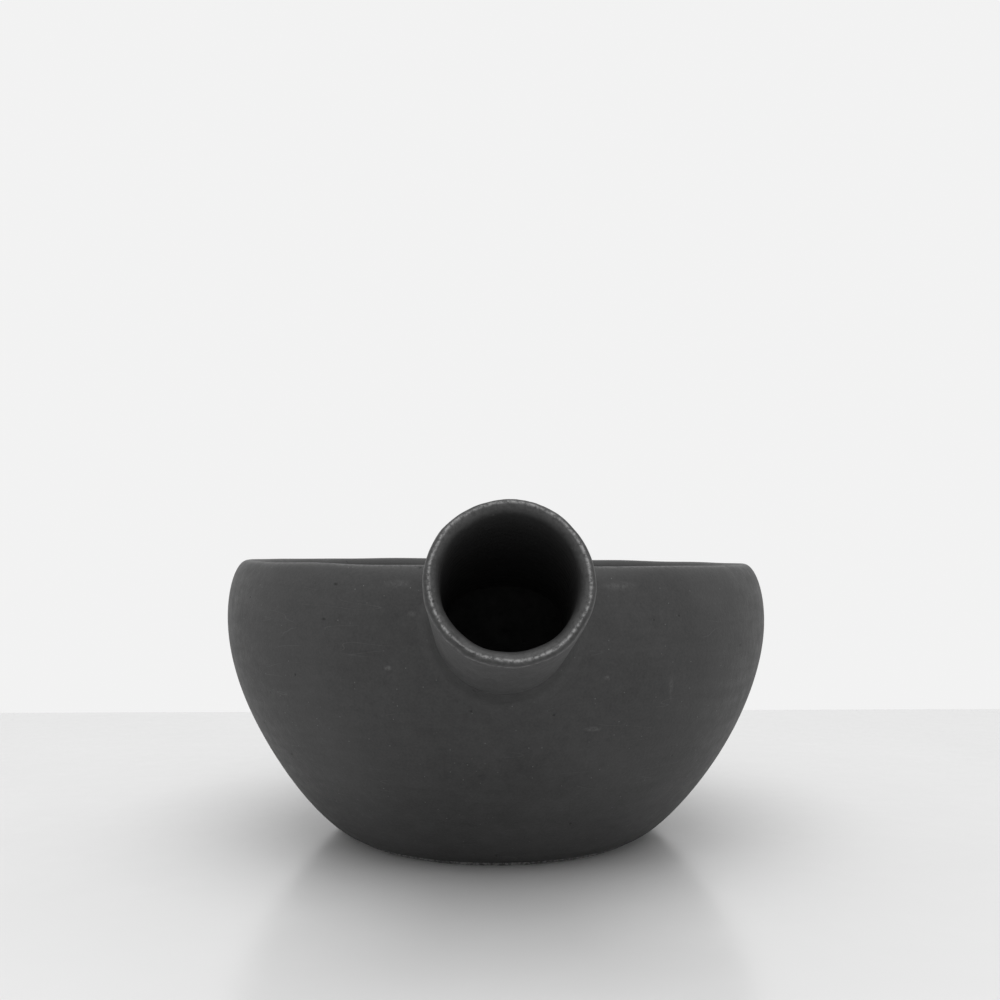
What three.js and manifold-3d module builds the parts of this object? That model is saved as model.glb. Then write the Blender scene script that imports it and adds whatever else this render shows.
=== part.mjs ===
import * as THREE from 'three';
import { mergeVertices } from 'three/addons/utils/BufferGeometryUtils.js';
import Module from 'manifold-3d';

// A low cooking pot of dark clay with one hollow tube handle.
// Sizes are in millimetres and angles in degrees, with +Z up.
// The origin is the middle of the flat underside, and the handle points along -Y.

// Sizes of the bowl
const POT_HEIGHT = 89.5;
const BELLY_DIAMETER = 180;
const BELLY_HEIGHT = 71.5;
const WALL_THICKNESS = 6;
const WALL_FOOT_DIAMETER = 102.6;
const WALL_FOOT_SLOPE = 24;
const WALL_FOOT_FULLNESS = 12;
const BELLY_FULLNESS = 30;
const FLOOR_CORNER_FULLNESS = 6;

// Sizes of the rim, a thick rounded lip on a shoulder that turns in
const RIM_CROWN_DIAMETER = 167.2;
const RIM_OPENING_DIAMETER = 158.8;
const RIM_INNER_ROUND = 3.7;
const SHOULDER_FULLNESS = 3.5;

// Sizes of the slab that the wall stands on
const BASE_DIAMETER = 98.2;
const BASE_THICKNESS = 6;
const BASE_EDGE_HEIGHT = 1.2;
const BASE_EDGE_ROUND = 0.5;
const BASE_SHOULDER_DIAMETER = 92;

// Sizes of the tube handle, measured along its own axis from its mouth
const TUBE_LENGTH = 48.7;
const TUBE_TILT = 14.5;
const TUBE_MOUTH_DIAMETER = 38.6;
const TUBE_ROOT_DIAMETER = 37.4;
const TUBE_BORE_DIAMETER = 31.2;
const TUBE_LIP_DIAMETER = 35.8;
const TUBE_LIP_OUTER_DEPTH = 3;
const TUBE_LIP_INNER_DEPTH = 3.5;
const TUBE_AXIS_BELOW_RIM = 14.2;
const TUBE_TOP_BELOW_RIM = 3.3;

// Sizes of the coil of clay pressed into the corner between tube and wall.
// Where the rim is near, it takes a share of the room that is left under the crown.
const COIL_REACH = 5;
const COIL_FEATHER_EDGE = 0.5;
const COIL_ROOM_SHARE = 0.8;

// The layer of slip that glues one piece to the next
const SLIP_GAP = 0.3;

// How finely the round shapes are stepped
const BOWL_SIDES = 72;
const TUBE_SIDES = 48;
const BELLY_STEPS = 14;
const SHOULDER_STEPS = 8;
const LIP_STEPS = 4;
const COIL_CURVE_STEPS = 5;
const WALL_SEARCH_STEP = 1;
const WALL_SEARCH_HALVINGS = 24;
const WELD_DISTANCE = 1e-4;

const bellyRadius = BELLY_DIAMETER / 2;
const crownRadius = RIM_CROWN_DIAMETER / 2;
const openingRadius = RIM_OPENING_DIAMETER / 2;
const wallFootRadius = WALL_FOOT_DIAMETER / 2;
const wallFootHeight = BASE_EDGE_HEIGHT + SLIP_GAP;
const wallSeatRadius = BASE_SHOULDER_DIAMETER / 2 + SLIP_GAP;
const tubeMouthRadius = TUBE_MOUTH_DIAMETER / 2;
const tubeRootRadius = TUBE_ROOT_DIAMETER / 2;
const tubeBoreRadius = TUBE_BORE_DIAMETER / 2;
const tubeLipRadius = TUBE_LIP_DIAMETER / 2;
const tubeTilt = THREE.MathUtils.degToRad(TUBE_TILT);

// The tube runs on past the wall's face, so that the wall can trim its end to fit.
const tubeOverrun = tubeRootRadius;

// Near the wall the tube's upper half is pressed down, so that its top stays under the rim.
const tubePressedBy = Math.max(0, tubeRootRadius - (TUBE_AXIS_BELOW_RIM - TUBE_TOP_BELOW_RIM));

const wasm = await Module();
wasm.setup();

function clay(color, roughness) {
  return new THREE.MeshStandardMaterial({ color, roughness, metalness: 0 });
}

// Turn an outline of radius and height about the Z axis.
function turned(outline, sides) {
  const geometry = new THREE.LatheGeometry(outline, sides);
  geometry.rotateX(Math.PI / 2);
  return welded(geometry);
}

function welded(geometry) {
  geometry.deleteAttribute('normal');
  geometry.deleteAttribute('uv');
  return mergeVertices(geometry, WELD_DISTANCE);
}

function toSolid(geometry) {
  const mesh = new wasm.Mesh({
    numProp: 3,
    vertProperties: new Float32Array(geometry.attributes.position.array),
    triVerts: new Uint32Array(geometry.index.array),
  });
  return new wasm.Manifold(mesh);
}

function toGeometry(solid) {
  const mesh = solid.getMesh();
  const geometry = new THREE.BufferGeometry();
  geometry.setAttribute('position', new THREE.BufferAttribute(new Float32Array(mesh.vertProperties), 3));
  geometry.setIndex(new THREE.BufferAttribute(new Uint32Array(mesh.triVerts), 1));
  return geometry;
}

function named(name, geometry, material) {
  geometry.computeVertexNormals();
  const mesh = new THREE.Mesh(geometry, material);
  mesh.name = name;
  return mesh;
}

// The outer face of the wall, from its foot over the belly and shoulder to the rim's crown.
function outerWall() {
  const slope = THREE.MathUtils.degToRad(WALL_FOOT_SLOPE);
  const belly = new THREE.CubicBezierCurve(
    new THREE.Vector2(wallFootRadius, wallFootHeight),
    new THREE.Vector2(
      wallFootRadius + WALL_FOOT_FULLNESS * Math.cos(slope),
      wallFootHeight + WALL_FOOT_FULLNESS * Math.sin(slope),
    ),
    new THREE.Vector2(bellyRadius, BELLY_HEIGHT - BELLY_FULLNESS),
    new THREE.Vector2(bellyRadius, BELLY_HEIGHT),
  );
  const shoulder = new THREE.EllipseCurve(
    crownRadius, BELLY_HEIGHT, bellyRadius - crownRadius, POT_HEIGHT - BELLY_HEIGHT, 0, Math.PI / 2,
  );
  return [
    ...belly.getPoints(BELLY_STEPS),
    ...shoulder.getPoints(SHOULDER_STEPS).slice(1),
  ];
}

// The inner face, from the rim's crown down to the floor slab.
function innerWall() {
  const lipFoot = POT_HEIGHT - RIM_INNER_ROUND;
  const round = new THREE.EllipseCurve(
    crownRadius, lipFoot, crownRadius - openingRadius, RIM_INNER_ROUND, Math.PI / 2, Math.PI,
  );
  const insideBelly = bellyRadius - WALL_THICKNESS;
  const shoulder = new THREE.CubicBezierCurve(
    new THREE.Vector2(openingRadius, lipFoot),
    new THREE.Vector2(openingRadius, lipFoot - SHOULDER_FULLNESS),
    new THREE.Vector2(insideBelly, BELLY_HEIGHT + SHOULDER_FULLNESS),
    new THREE.Vector2(insideBelly, BELLY_HEIGHT),
  );
  const belly = new THREE.CubicBezierCurve(
    new THREE.Vector2(insideBelly, BELLY_HEIGHT),
    new THREE.Vector2(insideBelly, BELLY_HEIGHT - BELLY_FULLNESS),
    new THREE.Vector2(wallSeatRadius + FLOOR_CORNER_FULLNESS, BASE_THICKNESS),
    new THREE.Vector2(wallSeatRadius, BASE_THICKNESS),
  );
  return [
    ...round.getPoints(LIP_STEPS).slice(1, -1),
    ...shoulder.getPoints(LIP_STEPS).slice(0, -1),
    ...belly.getPoints(BELLY_STEPS),
  ];
}

// The same outer face moved out square to itself, as the wall's slip layer.
function outsetWall(distance) {
  const points = outerWall();
  return points.map((point, index) => {
    const before = points[Math.max(index - 1, 0)];
    const after = points[Math.min(index + 1, points.length - 1)];
    const along = after.clone().sub(before).normalize();
    return new THREE.Vector2(point.x + along.y * distance, point.y - along.x * distance);
  });
}

function baseDisc() {
  const edge = BASE_DIAMETER / 2;
  const round = new THREE.EllipseCurve(
    edge - BASE_EDGE_ROUND, BASE_EDGE_ROUND, BASE_EDGE_ROUND, BASE_EDGE_ROUND, -Math.PI / 2, 0,
  );
  const shoulder = BASE_SHOULDER_DIAMETER / 2;
  const outline = [
    new THREE.Vector2(0, 0),
    ...round.getPoints(LIP_STEPS),
    new THREE.Vector2(edge, BASE_EDGE_HEIGHT),
    new THREE.Vector2(shoulder, BASE_EDGE_HEIGHT),
    new THREE.Vector2(shoulder, BASE_THICKNESS),
    new THREE.Vector2(0, BASE_THICKNESS),
  ];
  return turned(outline, BOWL_SIDES);
}

function potBody() {
  const outline = [
    new THREE.Vector2(wallSeatRadius, wallFootHeight),
    ...outerWall(),
    ...innerWall(),
    new THREE.Vector2(wallSeatRadius, wallFootHeight),
  ];
  return turned(outline, BOWL_SIDES);
}

const slipFace = outsetWall(SLIP_GAP);

// The whole pot as a filled block, a slip layer larger than the wall.
function filledPot() {
  const outline = [
    new THREE.Vector2(0, slipFace[0].y),
    ...slipFace,
    new THREE.Vector2(0, slipFace[slipFace.length - 1].y),
  ];
  return turned(outline, BOWL_SIDES);
}

// Radius of the wall's slip layer at a height, or zero above the rim and below the foot.
function slipRadius(height) {
  for (let index = 1; index < slipFace.length; index += 1) {
    const low = slipFace[index - 1];
    const high = slipFace[index];
    if (height >= low.y && height <= high.y) {
      return THREE.MathUtils.mapLinear(height, low.y, high.y, low.x, high.x);
    }
  }
  return 0;
}

// The handle's frame: its origin is the middle of the mouth, +Z points out of it, +Y is up.
function handleFrame() {
  const rootHeight = POT_HEIGHT - TUBE_AXIS_BELOW_RIM;
  const wallRadius = slipRadius(rootHeight) - SLIP_GAP;
  const frame = new THREE.Group();
  frame.position.set(
    0,
    -wallRadius - TUBE_LENGTH * Math.cos(tubeTilt),
    rootHeight + TUBE_LENGTH * Math.sin(tubeTilt),
  );
  frame.rotation.x = Math.PI / 2 - tubeTilt;
  frame.updateMatrixWorld(true);
  return frame;
}

const handle = handleFrame();

// Press the tube's upper half down, more and more towards its root.
function pressed(point) {
  const radius = Math.hypot(point.x, point.y);
  const share = -point.z / TUBE_LENGTH;
  if (point.y > 0) {
    point.y *= 1 - (tubePressedBy * share) / radius;
  }
  return point;
}

function tubeRadius(z) {
  return THREE.MathUtils.mapLinear(z, 0, -TUBE_LENGTH, tubeMouthRadius, tubeRootRadius);
}

function tubeHandle() {
  const outerRound = new THREE.EllipseCurve(
    tubeLipRadius, -TUBE_LIP_OUTER_DEPTH,
    tubeRadius(-TUBE_LIP_OUTER_DEPTH) - tubeLipRadius, TUBE_LIP_OUTER_DEPTH, 0, Math.PI / 2,
  );
  const innerRound = new THREE.EllipseCurve(
    tubeLipRadius, -TUBE_LIP_INNER_DEPTH,
    tubeLipRadius - tubeBoreRadius, TUBE_LIP_INNER_DEPTH, Math.PI / 2, Math.PI,
  );
  const end = -TUBE_LENGTH - tubeOverrun;
  const outline = [
    new THREE.Vector2(tubeBoreRadius, end),
    new THREE.Vector2(tubeRadius(end), end),
    ...outerRound.getPoints(LIP_STEPS),
    ...innerRound.getPoints(LIP_STEPS).slice(1),
    new THREE.Vector2(tubeBoreRadius, end),
  ];
  const tube = turned(outline, TUBE_SIDES);
  const position = tube.attributes.position;
  const point = new THREE.Vector3();
  for (let index = 0; index < position.count; index += 1) {
    pressed(point.fromBufferAttribute(position, index));
    position.setXYZ(index, point.x, point.y, point.z);
  }
  const trim = filledPot().applyMatrix4(handle.matrixWorld.clone().invert());
  return toGeometry(toSolid(tube).subtract(toSolid(trim)));
}

function insideSlip(point) {
  const world = handle.localToWorld(point.clone());
  return Math.hypot(world.x, world.y) < slipRadius(world.z);
}

// Walk from the mouth towards the pot and stop where the path first enters the wall's slip.
function meetWall(pointAt) {
  let outside = 0;
  let inside = -WALL_SEARCH_STEP;
  while (!insideSlip(pointAt(inside)) && inside > -TUBE_LENGTH - tubeOverrun) {
    outside = inside;
    inside -= WALL_SEARCH_STEP;
  }
  for (let halving = 0; halving < WALL_SEARCH_HALVINGS; halving += 1) {
    const middle = (outside + inside) / 2;
    if (insideSlip(pointAt(middle))) {
      inside = middle;
    } else {
      outside = middle;
    }
  }
  return pointAt(outside);
}

function tubePoint(angle, z, outset) {
  const radius = tubeRadius(z) + outset;
  return pressed(new THREE.Vector3(radius * Math.cos(angle), radius * Math.sin(angle), z));
}

// One slice of the coil: round its inner corner, out along the wall and back over its hollow.
function coilSlice(angle) {
  const outward = new THREE.Vector3(Math.cos(angle), Math.sin(angle), 0);
  const corner = meetWall((z) => tubePoint(angle, z, SLIP_GAP));
  const rimRoom = POT_HEIGHT - handle.localToWorld(corner.clone()).z;
  const rise = outward.y * Math.cos(tubeTilt);
  const reach = rise > 0 ? Math.min(COIL_REACH, (COIL_ROOM_SHARE * rimRoom) / rise) : COIL_REACH;
  const wallPoint = (distance) => {
    const start = corner.clone().addScaledVector(outward, distance);
    return meetWall((z) => new THREE.Vector3(start.x, start.y, z));
  };
  const onWall = wallPoint(reach);
  const overWall = onWall.clone();
  overWall.z += COIL_FEATHER_EDGE;
  const onTube = tubePoint(angle, corner.z + COIL_REACH, SLIP_GAP);
  const overTube = tubePoint(angle, corner.z + COIL_REACH, SLIP_GAP + COIL_FEATHER_EDGE);
  const bend = corner.clone().addScaledVector(outward, COIL_FEATHER_EDGE);
  bend.z += COIL_FEATHER_EDGE;
  const hollow = new THREE.QuadraticBezierCurve3(overWall, bend, overTube);
  return [corner, wallPoint(reach / 2), onWall, ...hollow.getPoints(COIL_CURVE_STEPS), onTube];
}

function lutingCoil() {
  const slices = [];
  for (let side = 0; side < TUBE_SIDES; side += 1) {
    slices.push(coilSlice((2 * Math.PI * side) / TUBE_SIDES));
  }
  const around = slices[0].length;
  const corners = [];
  for (let side = 0; side < TUBE_SIDES; side += 1) {
    const nextSide = (side + 1) % TUBE_SIDES;
    for (let step = 0; step < around; step += 1) {
      const nextStep = (step + 1) % around;
      const a = side * around + step;
      const b = side * around + nextStep;
      const c = nextSide * around + nextStep;
      const d = nextSide * around + step;
      corners.push(a, c, b, a, d, c);
    }
  }
  const geometry = new THREE.BufferGeometry().setFromPoints(slices.flat());
  geometry.setIndex(corners);
  return geometry;
}

const pot = new THREE.Group();
pot.add(named('base_disc', baseDisc(), clay(0x3c3c3d, 0.9)));
pot.add(named('pot_body', potBody(), clay(0x464647, 0.85)));
handle.add(named('tube_handle', tubeHandle(), clay(0x4b4b4c, 0.85)));
handle.add(named('luting_coil', lutingCoil(), clay(0x484849, 0.88)));
pot.add(handle);

export default pot;
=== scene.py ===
import math
from bisect import bisect_left
from collections import namedtuple

import bmesh
import bpy
from bpy.props import FloatProperty, FloatVectorProperty, IntProperty, PointerProperty
from mathutils import Euler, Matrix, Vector, noise


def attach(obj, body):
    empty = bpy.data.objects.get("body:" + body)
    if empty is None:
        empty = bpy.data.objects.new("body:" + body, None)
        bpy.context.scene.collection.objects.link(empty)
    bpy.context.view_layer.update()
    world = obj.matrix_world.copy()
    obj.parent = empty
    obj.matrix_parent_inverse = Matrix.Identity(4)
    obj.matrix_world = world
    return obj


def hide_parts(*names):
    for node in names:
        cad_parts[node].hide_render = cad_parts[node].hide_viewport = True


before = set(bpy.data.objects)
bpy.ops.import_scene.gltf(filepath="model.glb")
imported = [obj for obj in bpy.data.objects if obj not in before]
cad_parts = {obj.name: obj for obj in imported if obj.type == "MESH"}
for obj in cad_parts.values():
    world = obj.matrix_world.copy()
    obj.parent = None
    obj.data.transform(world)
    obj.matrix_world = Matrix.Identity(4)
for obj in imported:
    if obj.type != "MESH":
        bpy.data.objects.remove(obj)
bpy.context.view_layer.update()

bl_info = {
    "name": "Clay Cooking Pot",
    "version": (1, 0, 0),
    "blender": (4, 5, 0),
    "location": "3D View > Sidebar > Cooking Pot",
    "description": "Shapes a hand-made clay cooking pot with a hollow tube handle, and its studio stage",
    "category": "Add Mesh",
}

MM = 0.001
MERGE_DISTANCE = 0.001 * MM
PHOTO_WIDTH = 1000
SENSOR_WIDTH = 36

# Steps along the curves and lines of a turned piece
LONG_CURVE_STEPS = 64
SHOULDER_STEPS = 40
SHORT_CURVE_STEPS = 16
FLAT_STEPS = 12
CORNER_STEPS = 6
SLAB_STEP_STEPS = 4
TUBE_STEPS = 50
BORE_STEPS = 100
LIP_STEPS = 14
FILLET_STEPS = 28

# The power by which the fillet's steps crowd together next to the tube
FILLET_CROWDING = 1.8

# How places on the wall are searched for: along a line of sight, and along the tube in parts of its length
SIGHT_START = 0.6
SIGHT_STEP = 0.5 * MM
TUBE_SEARCH_START = 0.7
TUBE_SEARCH_END = 1.2
SEARCH_HALVINGS = 24
SLOPE_STEP = 0.1 * MM
CROWN_MARGIN = 0.2 * MM

# A face whose normal stands this upright is flat
FLAT_NORMAL = 0.999

# A line painted on the clay, of wear, of painted highlight or of painted shade: its strength in the middle
# and its half width
Line = namedtuple("Line", "strength width")

# Painted highlight: a lighter line along the bowl rim's crown, where the rim faces up to the light
RIM_HIGHLIGHT = Line(0.35, 1.4 * MM)
# Painted highlight: a light line along the slab's edge, where it catches light reflected from the table
SLAB_EDGE_HIGHLIGHT = Line(0.7, 0.8 * MM)
LIP_WEAR = Line(1.0, 0.35 * MM)
LIP_WEAR_AROUND = Line(0.12, 1.5 * MM)
# Painted highlight: a light line on the lip's outer rounding, where it reflects the white room
LIP_EDGE_HIGHLIGHT = Line(0.35, 0.4 * MM)
# Painted shade: a dark band on the lip's face, between the worn crown and the lit outer rounding
LIP_FACE_SHADE = Line(0.3, 0.4 * MM)
TUBE_WEAR = 0.04
# Painted highlight: a faint lighter band on the fillet's raised ring
FILLET_RING_HIGHLIGHT = 0.02
# Painted shade: darkening in the fillet's hollow next to the tube, where shade falls
FILLET_HOLLOW_SHADE = 0.12

# Where the painted highlight on the lip's outer rounding and the band of painted shade on the lip's face
# beside it lie
LIP_EDGE_INSET = 0.2 * MM
LIP_EDGE_DEPTH = 1.7 * MM
LIP_SHADE_OUTSIDE = 0.8 * MM
LIP_SHADE_DEPTH = 0.6 * MM

# A step of the painted shade in the bore: its share, and the depths at which it starts and is full
PaintedShade = namedtuple("PaintedShade", "share start full")

BORE_SHADE = (PaintedShade(0.8, 0.5 * MM, 2.5 * MM), PaintedShade(0.2, 3 * MM, 12 * MM))

# Painted shade on the wall at the bore's end: how deep it goes, and where it fades past the bore's radius
BORE_END_DEPTH = 3.5 * MM
BORE_END_FADE_START = 0.5 * MM
BORE_END_FADE_END = 2 * MM

# The lip's hand-made unevenness fades out between two depths; its waves, swells and grit have sizes
LIP_WORK_START = 1 * MM
LIP_WORK_END = 7 * MM
LIP_WAVE_SIZE = 5 * MM
LIP_SWELL_SIZE = 6 * MM
LIP_GRIT_SIZE = 1.1 * MM
LIP_SWELL_OFFSET = Vector((7, 3, 1))

# The throwing rings in the bore start and are full at these depths
RINGS_START = 4 * MM
RINGS_FULL = 7 * MM

# The fillet's reach varies by a share, in waves round the tube; its height turns from along the tube to
# upright on the wall over a distance; its hidden side ends at a share of its reach
FILLET_UNEVENNESS = 0.12
FILLET_WAVES = 1.7
FILLET_TURN = 2 * MM
FILLET_HIDDEN_SHARE = 0.6

# The part of the height from which the wall waves with the rim
RIM_WAVE_START = 0.8

# A soft noise: its grains to the metre, its detail and its roughness
Grain = namedtuple("Grain", "per_metre detail roughness")

CLOUDS = Grain(26, 3, 0.55)
MOTTLE = Grain(280, 5, 0.65)
FINE_GRAIN = Grain(1500, 2, 0.6)
GRIT = Grain(900, 2, 0.7)
STROKES = Grain(48, 3, 0.55)
SCRATCH_LINES = Grain(30, 1, 0.55)
SCRATCH_PLACES = Grain(70, 1, 0.55)
TABLE_CLOUDS = Grain(12, 3, 0.55)
TABLE_WEAR = Grain(60, 2, 0.55)

# Spots of the clay: cells to the metre, their size as a part of a cell, and the share of cells with one
Spots = namedtuple("Spots", "per_metre size share")

FLECKS = Spots(850, 0.18, 0.08)
PITS = Spots(140, 0.07, 0.4)

# A spot is full up to this part of its size, and cells are chosen over this step of their chance
SPOT_CORE = 0.4
SPOT_CHANCE_STEP = 0.02

# How far strokes and scratches are drawn out along the turning direction
STROKE_STRETCH = (1, 1, 7)

# How strongly each texture swings the clay's lightness and roughness, and its relief in millimetres
TONE = {"clouds": 1.1, "mottle": 1.5, "grain": 0.8, "strokes": 0.12}
ROUGHNESS = {"mottle": 0.45, "strokes": -0.15}
RELIEF = {"clouds": 0.4, "mottle": 0.16, "grain": 0.05, "strokes": 0.04, "pits": -0.2, "scratches": -0.03}
GRITTY_RELIEF = 0.25
WORN_ROUGHNESS = 0.25
SHADED_ROUGHNESS = 0.3

# How dark the pits are, and how light the flecks are and the scratches beside them
PIT_DARKNESS = 0.8
FLECK_LIGHTNESS = 0.3
SCRATCH_SHARE = 0.25

# A ramp: the values at which it starts and ends, and what it gives there
Ramp = namedtuple("Ramp", "low high start end")

WORN_PATCHES = Ramp(0.38, 0.60, 0.15, 1.0)
SCRATCH_WIDTH = Ramp(0.004, 0.001, 0.0, 1.0)
SCRATCH_RARITY = Ramp(0.58, 0.64, 0.0, 1.0)
TABLE_GLOSS = Ramp(0.3, 0.7, 0.16, 0.24)

# The table's darker patches against its colour
TABLE_SHADE = 0.94

# How strongly each clay's relief shows
FULL_BUMP = 1.0
SLAB_BUMP = 0.8

# A mark on the wall, placed where it shows in the 1000 pixel wide front view, in pixels
Mark = namedtuple("Mark", "column row half_width half_height strength")

LIGHT_MARKS = (
    Mark(column=399, row=584, half_width=17, half_height=5, strength=0.12),
    Mark(column=412, row=614, half_width=7, half_height=4, strength=0.10),
    Mark(column=619, row=586, half_width=23, half_height=6, strength=0.12),
    Mark(column=388, row=668, half_width=5, half_height=3, strength=0.26),
    Mark(column=607, row=678, half_width=4, half_height=3, strength=0.26),
    Mark(column=593, row=729, half_width=11, half_height=3, strength=0.16),
    Mark(column=671, row=688, half_width=3, half_height=18, strength=0.10),
)
DARK_MARKS_AND_SHADOW = (
    Mark(column=336, row=584, half_width=3, half_height=2, strength=1.0),
    Mark(column=324, row=619, half_width=3, half_height=2, strength=1.0),
    Mark(column=740, row=645, half_width=2, half_height=2, strength=1.0),
    Mark(column=292, row=754, half_width=2, half_height=2, strength=0.8),
    # Painted shadow of the handle on the lower wall
    Mark(column=506, row=817, half_width=42, half_height=22, strength=0.18),
)

# How far a mark reaches into the wall
MARK_DEPTH = 12 * MM

# A mark is full up to this part of its size
MARK_CORE = 0.2

# A chip in the tube's lip: its angle round the mouth in degrees, its size and its depth
Chip = namedtuple("Chip", "angle size depth")

LIP_CHIPS = (
    Chip(angle=232, size=2.2 * MM, depth=0.7 * MM),
    Chip(angle=243, size=1.2 * MM, depth=0.5 * MM),
    Chip(angle=118, size=1.4 * MM, depth=0.3 * MM),
    Chip(angle=331, size=1.1 * MM, depth=0.3 * MM),
)

# Chips lie a little outside the lip's foremost line and take away more of its outside than its inside
CHIP_OUTSIDE_LIP = 0.7 * MM
CHIP_SHARE_OUTSIDE = 0.6
CHIP_SHARE_INSIDE = -0.2


# Settings

def length(name, description, millimetres):
    """Declares a length, given in millimetres and kept in metres."""
    return FloatProperty(name=name, description=description, default=millimetres * MM,
                         unit="LENGTH", precision=5)


def angle(name, description, degrees):
    """Declares an angle, given in degrees and kept in radians."""
    return FloatProperty(name=name, description=description, default=math.radians(degrees),
                         unit="ROTATION", precision=3)


def number(name, description, value):
    """Declares a plain number."""
    return FloatProperty(name=name, description=description, default=value, precision=4)


def count(name, description, value):
    """Declares a whole number."""
    return IntProperty(name=name, description=description, default=value, min=3)


def grey(name, description, level):
    """Declares a colour by its linear grey level."""
    return FloatVectorProperty(name=name, description=description, default=(level, level, level, 1),
                               subtype="COLOR", size=4, min=0, max=1)


class BowlSettings(bpy.types.PropertyGroup):
    """The sizes of the bowl's wall."""
    height: length("Height", "From the table to the crown of the rim", 89.5)
    belly_diameter: length("Belly Diameter", "Widest diameter of the bowl", 180)
    belly_height: length("Belly Height", "Height of the widest place", 71.5)
    wall_thickness: length("Wall Thickness", "Thickness of the wall at the belly", 6)
    foot_height: length("Foot Height", "Height at which the wall starts", 1.5)
    foot_diameter: length("Foot Diameter", "Outer diameter where the wall starts", 102.6)
    foot_width: length("Foot Width", "Width of the wall's lower face", 5)
    foot_slope: angle("Foot Slope", "Slope of the wall where it leaves the slab", 24)
    foot_fullness: length("Foot Fullness", "How far the wall keeps its first slope", 12)
    belly_fullness: length("Belly Fullness", "How far the wall stays upright under the belly", 30)
    floor_corner: length("Floor Corner", "Roundness of the corner of wall and floor inside", 6)
    floor_height: length("Floor Height", "Height of the floor inside", 6)
    crown_diameter: length("Crown Diameter", "Diameter of the rim's highest line", 167.2)
    opening_diameter: length("Opening Diameter", "Clear width of the opening", 158.8)
    rim_round: length("Rim Round", "Height of the rounding inside the rim", 3.7)
    shoulder_fullness: length("Shoulder Fullness", "How softly the rim runs into the wall inside", 3.5)
    segments: count("Segments", "Steps round the bowl", 288)


class SlabSettings(bpy.types.PropertyGroup):
    """The sizes of the flat slab under the wall."""
    diameter: length("Diameter", "Diameter of the slab's edge", 98.2)
    thickness: length("Thickness", "Thickness of the slab", 6)
    edge_height: length("Edge Height", "Height of the slab's edge outside the wall", 1.2)
    edge_round: length("Edge Round", "Rounding of the slab's edge", 0.5)
    overlap: length("Overlap", "How far the slab is pressed into the wall", 0.2)


class HandleSettings(bpy.types.PropertyGroup):
    """The sizes and place of the hollow tube handle."""
    tube_length: length("Length", "From the mouth to the wall along the tube", 48.7)
    tilt: angle("Tilt", "How far the tube points up", 14.5)
    mouth_diameter: length("Mouth Diameter", "Outer diameter just behind the lip", 38.6)
    root_diameter: length("Root Diameter", "Outer diameter at the wall", 37.4)
    bore_diameter: length("Bore Diameter", "Diameter of the hole", 31.2)
    lip_diameter: length("Lip Diameter", "Diameter of the lip's foremost line", 35.8)
    lip_outer_depth: length("Lip Outer Depth", "Depth of the lip's rounding outside", 3)
    lip_inner_depth: length("Lip Inner Depth", "Depth of the lip's rounding inside", 3.5)
    axis_below_rim: length("Axis Below Rim", "How far below the rim the tube's middle meets the wall", 14.2)
    press: length("Press", "How far the tube's top is pressed down at the wall", 7.8)
    sink: length("Sink", "How far the tube runs into the wall", 1)
    lip_wave: length("Lip Wave", "Unevenness of the lip", 0.3)
    lip_grit: length("Lip Grit", "Fine roughness of the lip", 0.1)
    ring_height: length("Ring Height", "Height of the throwing rings in the bore", 0.06)
    ring_pitch: length("Ring Pitch", "Distance between the throwing rings", 2.4)
    segments: count("Segments", "Steps round the tube", 192)


class FilletSettings(bpy.types.PropertyGroup):
    """The sizes of the clay that is pressed round the joint of tube and wall."""
    reach: length("Reach", "How far the clay reaches along the wall", 5)
    height: length("Height", "How far the clay reaches along the tube", 4)
    hollow: length("Hollow", "Width of the hollow next to the tube", 1)
    ring_distance: length("Ring Distance", "Distance of the raised ring from the tube", 3.2)
    ring_height: length("Ring Height", "Height of the raised ring", 0.08)
    ring_width: length("Ring Width", "Half width of the raised ring", 1.5)
    sink: length("Sink", "How far its edges are smoothed into the clay below", 0.1)
    buried: length("Buried", "How far its hidden side lies under the surface", 0.8)
    room_share: number("Room Share", "Part of the room under the rim that it may take", 0.8)


class HandworkSettings(bpy.types.PropertyGroup):
    """How far the pot is from a true turned shape."""
    bulge: length("Bulge", "Depth of the soft bulges in the wall", 0.45)
    bulge_size: length("Bulge Size", "Size of the soft bulges", 42)
    rim_tilt: angle("Rim Tilt", "How far the rim is higher at the left", 0.5)
    rim_tilt_start: length("Rim Tilt Start", "Height from which the wall leans with the rim", 40)
    rim_wave: length("Rim Wave", "Waviness of the rim", 0.35)
    rim_wave_size: length("Rim Wave Size", "Length of the rim's waves", 26)
    lean: length("Lean", "Sideways shift of the lower wall", 0.35)
    lean_height: length("Lean Height", "Height of the greatest shift", 22)
    lean_spread: length("Lean Spread", "Height over which the shift fades", 20)


class ClaySettings(bpy.types.PropertyGroup):
    """The look of the fired clay."""
    clay: grey("Clay", "Colour of the dark fired clay", 0.031)
    # Also the colour of the painted highlights on edges
    worn: grey("Worn Clay", "Colour of the clay where its skin is rubbed off", 0.34)
    # The colour of painted shade, in the bore and in hollows
    painted_shade: grey("PaintedShade", "Colour of the sooty clay deep in the bore", 0.0015)
    roughness: number("Roughness", "Roughness of the clay's skin", 0.6)
    specular: number("Specular", "Strength of the clay's soft shine", 0.52)


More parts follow.
